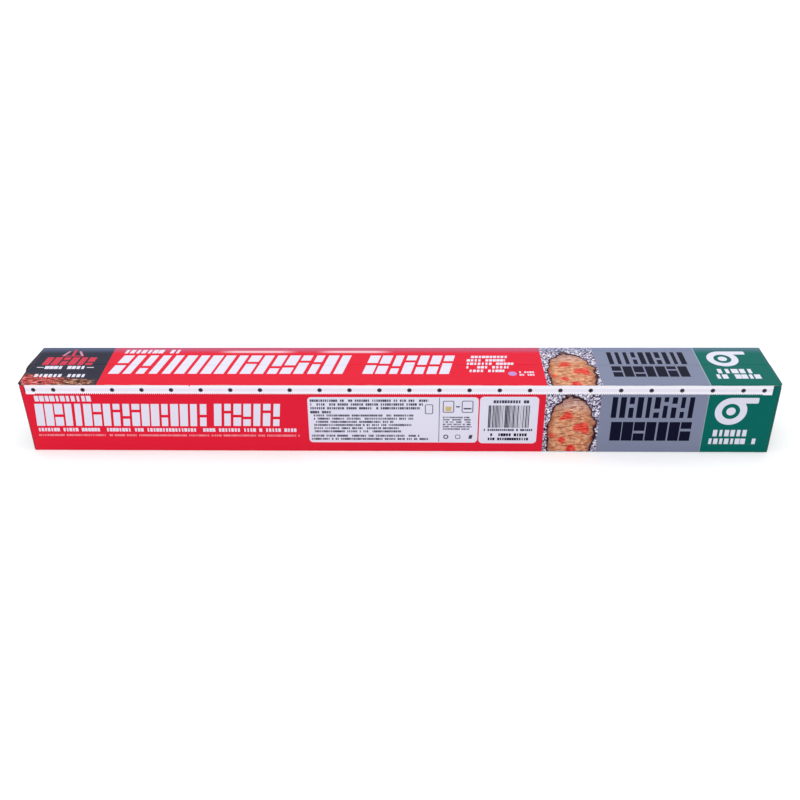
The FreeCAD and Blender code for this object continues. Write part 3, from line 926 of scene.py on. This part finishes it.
def roll_sign(press, ink_colour, ground, x, y):
    """Sign of a roll seen from its end, with its sheet drawn off to the right."""
    press.ring(ink_colour, x, y, 9.6)
    press.box(ink_colour, x, x + 15.5, y + 5.6, y + 9.6, 0.0, 0.8)
    press.ring(ground, x, y, 5.4)
    press.ring(ink_colour, x, y, 2.8)


def print_headline(press, inks):
    """Shapes on the left of the front panel and again on the back, x along it and y up from its lower edge."""
    white = tuple(inks.white)
    press.text(white, -222.4, -187.1, 36.3, 40.3)
    press.blocks(white, -224.8, -117.0, 18.5, 34.6, 6.0, (0.64, 0.86), 0.09, slit=2.0)
    press.blocks(white, -114.0, -71.5, 18.7, 34.8, 6.0, (0.64, 0.86), 0.09, slit=2.0)
    press.text(white, -224.4, -61.9, 14.4, 16.9)
    press.text(ink(244, 150, 160), -224.7, -60.2, 10.9, 12.3)


def print_quantity(press, inks):
    """Shapes on the grey and the green field of the front panel and the back."""
    white, navy = tuple(inks.white), tuple(inks.navy)
    press.blocks(navy, 129.7, 180.9, 25.2, 40.0, 5.1, (0.48, 0.7), slit=2.6)
    press.blocks(navy, 131.2, 180.7, 8.6, 22.3, 6.9, (0.82, 0.93), slit=1.8)
    press.box(ink(156, 178, 186), 187.6, 188.0, 0.0, 48.5)
    roll_sign(press, white, tuple(inks.green), 202.5, 30.0)
    press.text(white, 193.6, 218.6, 12.0, 16.7)
    press.text(white, 191.6, 221.4, 6.3, 10.4)


def print_panels(press, inks):
    """The two white panels on the front panel and on the back."""
    print_info_panel(press, tuple(inks.white), tuple(inks.small_print))
    print_bar_panel(press, tuple(inks.white), tuple(inks.navy), tuple(inks.small_print))


def print_info_panel(press, white, thin):
    """White panel of thin lines, with signs at its right."""
    press.box(white, -54.3, 50.1, 6.8, 39.7, corner=2.5)
    press.text(thin, -52.9, 23.0, 30.9, 38.0, lines=3, ragged=9.0)
    press.text(thin, -52.9, -40.0, 28.0, 29.8)
    press.text(thin, -51.0, 14.0, 14.2, 27.2, lines=6, ragged=16.0)
    press.text(thin, -52.9, 20.0, 8.6, 12.4, lines=2, ragged=6.0)
    press.frame(thin, white, 17.5, 22.5, 27.5, 34.5, 0.5)
    press.box(thin, 26.1, 26.5, 7.3, 39.3)
    press.frame(thin, white, 28.4, 35.3, 28.6, 37.1, 0.5)
    press.box(ink(212, 190, 130), 30.0, 33.7, 29.6, 33.0)
    press.box(thin, 36.4, 38.8, 32.4, 33.3)
    press.frame(thin, white, 39.9, 46.9, 28.6, 37.2, 0.5)
    press.box(thin, 41.0, 45.8, 31.0, 32.0, corner=0.4)
    press.text(thin, 28.6, 47.3, 16.2, 25.7, lines=6, ragged=3.0)
    press.ring(thin, 30.6, 11.0, 1.6, 0.9)
    press.frame(thin, white, 36.4, 39.6, 9.5, 12.6, 0.45)
    press.box(thin, 44.6, 46.6, 9.6, 12.4, 0.2)


def print_bar_panel(press, white, dark, thin):
    """White panel with upright bars between two lines of small blocks."""
    press.box(white, 50.9, 86.5, 6.4, 40.1, corner=2.5)
    press.blocks(dark, 56.2, 81.4, 17.8, 33.9, 0.84, (0.2, 0.85))
    press.text(thin, 57.3, 80.6, 35.5, 37.6)
    press.text(thin, 53.6, 83.8, 15.4, 17.0)
    press.text(dark, 57.8, 80.6, 11.6, 13.7)
    press.text(dark, 56.4, 81.6, 8.6, 10.5)


PRINT_ZONES = {
    "Print on top": print_top,
    "Print of headline": print_headline,
    "Print of panels": print_panels,
    "Print of quantity": print_quantity,
}


def print_zone(u, v):
    """Which of the board's materials a printed face takes, by its place on the blank."""
    beneath = (v > BLANK_BOTTOM) & (v < BLANK_FRONT)
    across = np.where(v < BLANK_BOTTOM, -140.0 - u, u)
    return np.select([v < BLANK_BACK, beneath, u > 100.0, across < -57.0], [3, 0, 6, 4], 5)


def side_place(nodes, u, v):
    """Place on the front panel; for the back it is turned and shifted so that the same shapes fall in its fields."""
    in_grey = nodes.times(nodes.math("GREATER_THAN", u, GREY_LEFT), 452.0)
    in_green = nodes.times(nodes.math("GREATER_THAN", u, GREEN_LEFT), 102.0)
    shift = nodes.plus(nodes.plus(-140.0, in_grey), in_green)
    behind = nodes.join(nodes.minus(shift, u), nodes.minus(BLANK_BOTTOM, v))
    ahead = nodes.join(u, nodes.minus(v, BLANK_FRONT))
    mix = nodes.add("ShaderNodeMix", data_type="VECTOR")
    nodes.put(mix.inputs["Factor"], nodes.math("LESS_THAN", v, BLANK_BOTTOM + HALF_DEPTH))
    nodes.put(mix.inputs[4], ahead)
    nodes.put(mix.inputs[5], behind)
    return mix.outputs[1]


def fold_lines(nodes, v):
    """Mask of the four long folds and the hinge crease, half a millimetre to each side."""
    nearest = nodes.size(nodes.minus(v, LID_FOLD))
    for fold in (BLANK_BACK, BLANK_BOTTOM, BLANK_FRONT):
        nearest = nodes.least(nearest, nodes.size(nodes.minus(v, fold)))
    return nodes.smooth(nearest, 0.15, 0.6, 1.0, 0.0)


def printed_board(name, shapes, colours, grain):
    """Varnished print on the board's outer side, rubbed pale along the folds and dark in the hinge crease."""
    material, nodes, surface = new_material(name)
    blank = nodes.add("ShaderNodeAttribute", attribute_name="blank").outputs["Vector"]
    u, v, _ = nodes.split(blank)
    fields = nodes.place(bpy.data.node_groups["Print fields"], Blank=blank).outputs[0]
    on_top = shapes is print_top
    place = nodes.join(u, nodes.minus(v, BLANK_CREASE - CREASE)) if on_top else side_place(nodes, u, v)
    press = Press(nodes, place, fields)
    if shapes is not None:
        shapes(press, colours)
    fibres = nodes.place(grain, Place=object_place(nodes), Scale=2400.0).outputs
    worn = nodes.times(fold_lines(nodes, v), nodes.smooth(fibres["Blotches"], 0.45, 0.65, 0.1, 0.5))
    colour = nodes.mix(worn, press.colour, tuple(colours.board_edge))
    crease = nodes.smooth(nodes.size(nodes.minus(v, BLANK_CREASE)), 0.1, 0.35, 0.2, 0.0)
    nodes.put(surface["Base Color"], nodes.mix(crease, colour, (0.02, 0.01, 0.01)))
    nodes.put(surface["Roughness"], nodes.smooth(fibres["Blotches"], 0.3, 0.7, 0.28, 0.38))
    from_rear = nodes.size(nodes.minus(v, BLANK_BACK))
    nodes.put(surface["Specular IOR Level"], nodes.smooth(from_rear, 1.0, 5.0, 0.2, 0.05))
    nodes.put(surface["Normal"], bumped(nodes, fibres["Height"], 0.08, 0.00004))
    return material


def bare_board(name, colour, grain, inked=0.0):
    """Unprinted board: grey-white fibres with darker specks, under the share of ink that has run over it."""
    material, nodes, surface = new_material(name)
    place = object_place(nodes)
    fibres = nodes.place(grain, Place=place, Scale=1800.0).outputs
    darker = tuple(0.8 * value for value in colour)
    board = nodes.mix(nodes.smooth(fibres["Height"], 0.35, 0.6), darker, tuple(colour))
    if inked:
        blank = nodes.add("ShaderNodeAttribute", attribute_name="blank").outputs["Vector"]
        fields = nodes.place(bpy.data.node_groups["Print fields"], Blank=blank).outputs[0]
        board = nodes.mix(inked, board, nodes.scaled(fields, (0.15, 0.15, 0.15)))
    nodes.put(surface["Base Color"], board)
    nodes.put(surface["Roughness"], nodes.smooth(fibres["Blotches"], 0.3, 0.7, 0.75, 0.9))
    nodes.put(surface["Normal"], bumped(nodes, fibres["Height"], 0.25, 0.0001))
    return material


def stake_distance(nodes):
    """Distance in millimetres from the middle of the nearest stake, across the strip's face."""
    x, _, z = nodes.split(object_place(nodes, (1000, 1000, 1000)))
    stakes = stake_places()
    row, pitch = stakes[1:-1], stakes[2] - stakes[1]
    number = nodes.math("ROUND", nodes.over(nodes.minus(x, float(row[0])), float(pitch)))
    number = nodes.least(nodes.most(number, 0.0), float(len(row) - 1))
    middle = nodes.plus(nodes.times(number, float(pitch)), float(row[0]))
    aside = nodes.size(nodes.minus(x, middle))
    for end in (stakes[0], stakes[-1]):
        aside = nodes.least(aside, nodes.size(nodes.minus(x, float(end))))
    up = nodes.minus(z, float(STRIP_LOW[2] + 3.05))
    return nodes.distance(nodes.join(aside, up), (0.0, 0.0, 0.0)), z


def rolled_steel(colours):
    """Bright rolled strip: fine lines along it, a duller middle, and stakes with a dark drawn-in mouth."""
    material, nodes, surface = new_material("Rolled steel")
    lines = nodes.noise(object_place(nodes, (6, 1800, 2600)), 1.0, 4.0, 0.6)
    reach, z = stake_distance(nodes)
    band = nodes.smooth(nodes.size(nodes.minus(z, float(STRIP_LOW[2] + 3.1))), 0.7, 1.5, 1.0, 0.0)
    colour = nodes.mix(nodes.times(band, 0.5), tuple(colours.steel), tuple(colours.steel_band))
    mouth = nodes.smooth(reach, 1.2, 1.55, 1.0, 0.0)
    nodes.put(surface["Base Color"], nodes.mix(mouth, colour, tuple(colours.steel_mouth)))
    nodes.put(surface["Metallic"], nodes.smooth(mouth, 0.0, 1.0, 1.0, 0.3))
    nodes.put(surface["Roughness"], nodes.smooth(lines, 0.3, 0.7, 0.3, 0.42))
    nodes.put(surface["Normal"], bumped(nodes, lines, 0.1, 0.00003))
    return material


def bright_foil(colours):
    """Wound foil: long soft creases, fine lines round the roll, and the turns' edges at both ends."""
    material, nodes, surface = new_material("Bright foil")
    crease = nodes.noise(object_place(nodes, (26, 210, 210)), 1.0, 5.0, 0.62)
    lines = nodes.noise(object_place(nodes, (1500, 40, 40)), 1.0, 3.0, 0.6)
    x, y, z = nodes.split(object_place(nodes, (1000, 1000, 1000)))
    radius = nodes.distance(nodes.join(y, z), (0.0, float(FOIL_LOW[2] + FOIL_HIGH[2]) / 2, 0.0))
    turns = nodes.noise(nodes.join(nodes.times(radius, 9.0), 0.0), 1.0, 2.0)
    at_end = nodes.math("GREATER_THAN", nodes.size(x), float(FOIL_HIGH[0]) - 0.5)
    tone = nodes.plus(nodes.times(crease, 0.8), nodes.times(lines, 0.2))
    tone = nodes.smooth(tone, 0.36, 0.6)
    tone = nodes.smooth(at_end, 0.0, 1.0, tone, nodes.smooth(turns, 0.4, 0.6))
    nodes.put(surface["Base Color"], nodes.mix(tone, tuple(colours.foil_shade), tuple(colours.foil)))
    nodes.put(surface["Metallic"], 1.0)
    nodes.put(surface["Roughness"], nodes.smooth(crease, 0.3, 0.7, 0.16, 0.3))
    nodes.put(surface["Normal"], bumped(nodes, tone, 0.5, 0.0004))
    return material


def tube_paper(colours, grain):
    """Spiral-wound paper: fibres, and a dark seam that goes once round in each 70 mm of the tube."""
    material, nodes, surface = new_material("Tube paper")
    fibres = nodes.place(grain, Place=object_place(nodes), Scale=1500.0).outputs
    x, y, z = nodes.split(object_place(nodes, (1000, 1000, 1000)))
    angle = nodes.math("ARCTAN2", nodes.minus(z, float(TUBE_LOW[2] + TUBE_HIGH[2]) / 2), y)
    wound = nodes.plus(nodes.over(x, 70.0), nodes.over(angle, 2 * np.pi))
    seam = nodes.size(nodes.minus(nodes.math("FRACT", wound), 0.5))
    paper = nodes.mix(nodes.smooth(fibres["Height"], 0.35, 0.62), ink(134, 120, 98), tuple(colours.paper))
    nodes.put(surface["Base Color"], nodes.mix(nodes.smooth(seam, 0.004, 0.01, 0.6, 0.0), paper, ink(70, 58, 44)))
    nodes.put(surface["Roughness"], nodes.smooth(fibres["Blotches"], 0.3, 0.7, 0.8, 0.92))
    nodes.put(surface["Normal"], bumped(nodes, fibres["Height"], 0.3, 0.0001))
    return material


# Operators


class FOILBOX_OT_carton_shell(bpy.types.Operator):
    """Folded printed board of the carton, with its glued end flaps"""

    bl_idname = "foilbox.carton_shell"
    bl_label = "Carton"

    def execute(self, context):
        sizes = context.scene.foil_box_sizes
        shells = [sleeve(sizes)] + dust_flaps(sizes) + bottom_flaps(sizes)
        shells += top_flap(sizes, False) + top_flap(sizes, True)
        shells = [leaned(shell, sizes.lean / MM) for shell in shells]
        make_piece("carton_shell", shells, board_materials(), "carton", ["carton_body"])
        return {"FINISHED"}


class FOILBOX_OT_lid_shell(bpy.types.Operator):
    """Lid: the front half of the top with its punched front flap"""

    bl_idname = "foilbox.lid_shell"
    bl_label = "Lid"

    def execute(self, context):
        sizes = context.scene.foil_box_sizes
        shells = [lid_roof(sizes), lid_fold(sizes)] + flap_patches(sizes)
        make_piece("lid_shell", shells, board_materials(), "lid", ["lid"])
        return {"FINISHED"}


class FOILBOX_OT_cutter(bpy.types.Operator):
    """Finish of the toothed steel strip, and the pressed-over lips of its stakes"""

    bl_idname = "foilbox.cutter"
    bl_label = "Cutter strip"

    def execute(self, context):
        steel = rolled_steel(context.scene.foil_box_colours)
        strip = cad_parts["cutter_strip"]
        strip.data.materials.clear()
        strip.data.materials.append(steel)
        make_piece("stake_lips", stake_lips(), [steel], "lid", [])
        return {"FINISHED"}


class FOILBOX_OT_wound_foil(bpy.types.Operator):
    """The foil, wound with its free end lying over"""

    bl_idname = "foilbox.wound_foil"
    bl_label = "Foil"

    def execute(self, context):
        sizes = context.scene.foil_box_sizes
        radii = (TUBE_HIGH[1] + 0.05, FOIL_HIGH[1])
        shell = wound_ring(radii, FOIL_LOW[0], FOIL_HIGH[0], 0.25, sizes.foil_tail_lift / MM)
        foil = bright_foil(context.scene.foil_box_colours)
        make_piece("wound_foil", [shell], [foil], "carton", ["foil_roll"])
        return {"FINISHED"}


class FOILBOX_OT_paper_tube(bpy.types.Operator):
    """The spiral paper tube inside the foil"""

    bl_idname = "foilbox.paper_tube"
    bl_label = "Paper tube"

    def execute(self, context):
        colours = context.scene.foil_box_colours
        radii = (TUBE_HIGH[1] - 1.2, TUBE_HIGH[1])
        shell = wound_ring(radii, TUBE_LOW[0], TUBE_HIGH[0], 0.06, 0.0, stops=128, columns=60)
        paper = tube_paper(colours, bpy.data.node_groups["Fibre grain"])
        make_piece("paper_tube", [shell], [paper], "carton", ["core_tube"])
        return {"FINISHED"}


class FOILBOX_OT_studio(bpy.types.Operator):
    """Pale floor, soft lamps, white surroundings and the camera"""

    bl_idname = "foilbox.studio"
    bl_label = "Studio"

    def execute(self, context):
        make_floor(context.scene.foil_box_colours)
        make_world(context.scene)
        add_lamp("overhead lamp", (0.0, 0.15, 1.1), (0.0, 0.0, 0.0), (1.6, 1.0), 6.5)
        add_lamp("front lamp", (-0.5, -1.3, 0.8), (0.0, 0.0, 0.0), (1.2, 0.8), 7.0)
        add_camera(context.scene)
        context.scene.view_settings.view_transform = "Standard"
        return {"FINISHED"}


def board_materials():
    """Plain print, cut edge and bare inside of the board, then the print's zones in their order."""
    names = ("Print", "Board edge", "Board inside", *PRINT_ZONES)
    return [bpy.data.materials[name] for name in names]


def make_board_materials(colours):
    """All the board's materials. The print is split by zones because one material can't hold all its shapes."""
    grain = fibre_grain()
    slanted_box()
    block_rows()
    print_fields(colours)
    printed_board("Print", None, colours, grain)
    for name, shapes in PRINT_ZONES.items():
        printed_board(name, shapes, colours, grain)
    bare_board("Board edge", colours.board_edge, grain, 0.94)
    bare_board("Board inside", colours.board_inside, grain)


# Studio


def sees_directly(nodes):
    """1 for rays from the camera, in mirrors and through glass, otherwise 0."""
    path = nodes.add("ShaderNodeLightPath").outputs
    direct = nodes.math("ADD", path["Is Camera Ray"], path["Is Glossy Ray"])
    return nodes.math("ADD", direct, path["Is Transmission Ray"], clamp=True)


def make_floor(colours):
    """Wide pale floor that takes the shadow, lifted to white where it is seen directly."""
    reach = np.linspace(-4, 4, 9)
    x, y = np.meshgrid(reach, reach, indexing="ij")
    points = np.dstack([x, y, 0 * x - 0.00002]).reshape(-1, 3)
    index = np.arange(81).reshape(9, 9)
    quads = np.stack([index[:-1, :-1], index[1:, :-1], index[1:, 1:], index[:-1, 1:]], axis=-1).reshape(-1, 4)
    mesh = bpy.data.meshes.new("studio_floor")
    mesh.from_pydata(points.tolist(), [], quads.tolist())
    floor = bpy.data.objects.new("studio_floor", mesh)
    bpy.context.scene.collection.objects.link(floor)
    material, nodes, surface = new_material("Studio floor")
    nodes.put(surface["Base Color"], tuple(colours.floor))
    nodes.put(surface["Roughness"], 0.9)
    nodes.put(surface["Specular IOR Level"], 0.0)
    nodes.put(surface["Emission Color"], (1, 1, 1))
    far = nodes.smooth(nodes.distance(object_place(nodes), (0.0, 0.0, 0.0)), 0.3, 1.2, 0.35, 1.0)
    nodes.put(surface["Emission Strength"], nodes.times(sees_directly(nodes), far))
    mesh.materials.append(material)


def make_world(scene):
    """White where it is seen directly, a plain soft light elsewhere."""
    world = bpy.data.worlds.new("studio")
    world.use_nodes = True
    nodes = Nodes(world.node_tree)
    background = world.node_tree.nodes["Background"]
    nodes.put(background.inputs["Color"], (1, 1, 1, 1))
    nodes.put(background.inputs["Strength"], nodes.smooth(sees_directly(nodes), 0.0, 1.0, 0.55, 1.0))
    scene.world = world


def add_lamp(name, place, target, size, watts):
    """Rectangular lamp aimed at a point."""
    light = bpy.data.lights.new(name, "AREA")
    light.shape = "RECTANGLE"
    light.size, light.size_y = size
    light.energy = watts
    lamp = bpy.data.objects.new(name, light)
    back = np.array(place) - np.array(target)
    back = back / np.linalg.norm(back)
    right = np.cross((0, 1, 0) if abs(back[2]) > 0.99 else (0, 0, 1), back)
    right = right / np.linalg.norm(right)
    axes = np.eye(4)
    axes[:3, 0], axes[:3, 1], axes[:3, 2], axes[:3, 3] = right, np.cross(back, right), back, place
    lamp.matrix_world = Matrix(axes.tolist())
    bpy.context.scene.collection.objects.link(lamp)


def add_camera(scene):
    """Camera fitted to the carton's corners: yaw, pitch and roll in radians, and its place in metres."""
    yaw, pitch, roll = -0.03839, 0.54428, -0.01836
    turn = np.array([[np.cos(yaw), -np.sin(yaw), 0], [np.sin(yaw), np.cos(yaw), 0], [0, 0, 1]])
    tilt = np.array([[1, 0, 0], [0, -np.sin(pitch), -np.cos(pitch)], [0, np.cos(pitch), -np.sin(pitch)]])
    spin = np.array([[np.cos(roll), -np.sin(roll), 0], [np.sin(roll), np.cos(roll), 0], [0, 0, 1]])
    view = spin @ tilt @ turn
    shift = np.array([0.01303791, 0.01992698, 0.63713417])
    axes = np.eye(4)
    axes[:3, 0], axes[:3, 1], axes[:3, 2] = view[0], -view[1], -view[2]
    axes[:3, 3] = -view.T @ shift
    data = bpy.data.cameras.new("camera")
    data.sensor_width = 36.0
    data.lens = 982.597 / 800 * 36
    data.shift_x = (400 - 376.887) / 800
    camera = bpy.data.objects.new("camera", data)
    camera.matrix_world = Matrix(axes.tolist())
    scene.collection.objects.link(camera)
    scene.camera = camera


class FOILBOX_PT_panel(bpy.types.Panel):
    """Sizes, colours and pieces of the foil box"""

    bl_idname = "FOILBOX_PT_panel"
    bl_label = "Foil box"
    bl_space_type = "VIEW_3D"
    bl_region_type = "UI"
    bl_category = "Foil box"

    def draw(self, context):
        for group in (context.scene.foil_box_sizes, context.scene.foil_box_colours):
            for name in group.__annotations__:
                self.layout.prop(group, name)
        for operator in OPERATORS:
            self.layout.operator(operator.bl_idname)


OPERATORS = (
    FOILBOX_OT_carton_shell,
    FOILBOX_OT_lid_shell,
    FOILBOX_OT_cutter,
    FOILBOX_OT_wound_foil,
    FOILBOX_OT_paper_tube,
    FOILBOX_OT_studio,
)
CLASSES = (FoilBoxSizes, FoilBoxColours, *OPERATORS, FOILBOX_PT_panel)


def register():
    for item in CLASSES:
        bpy.utils.register_class(item)
    bpy.types.Scene.foil_box_sizes = PointerProperty(type=FoilBoxSizes)
    bpy.types.Scene.foil_box_colours = PointerProperty(type=FoilBoxColours)


def unregister():
    del bpy.types.Scene.foil_box_colours
    del bpy.types.Scene.foil_box_sizes
    for item in reversed(CLASSES):
        bpy.utils.unregister_class(item)


def main():
    register()
    make_board_materials(bpy.context.scene.foil_box_colours)
    bpy.ops.foilbox.carton_shell()
    bpy.ops.foilbox.lid_shell()
    bpy.ops.foilbox.cutter()
    bpy.ops.foilbox.wound_foil()
    bpy.ops.foilbox.paper_tube()
    bpy.ops.foilbox.studio()


if __name__ == "__main__":
    main()
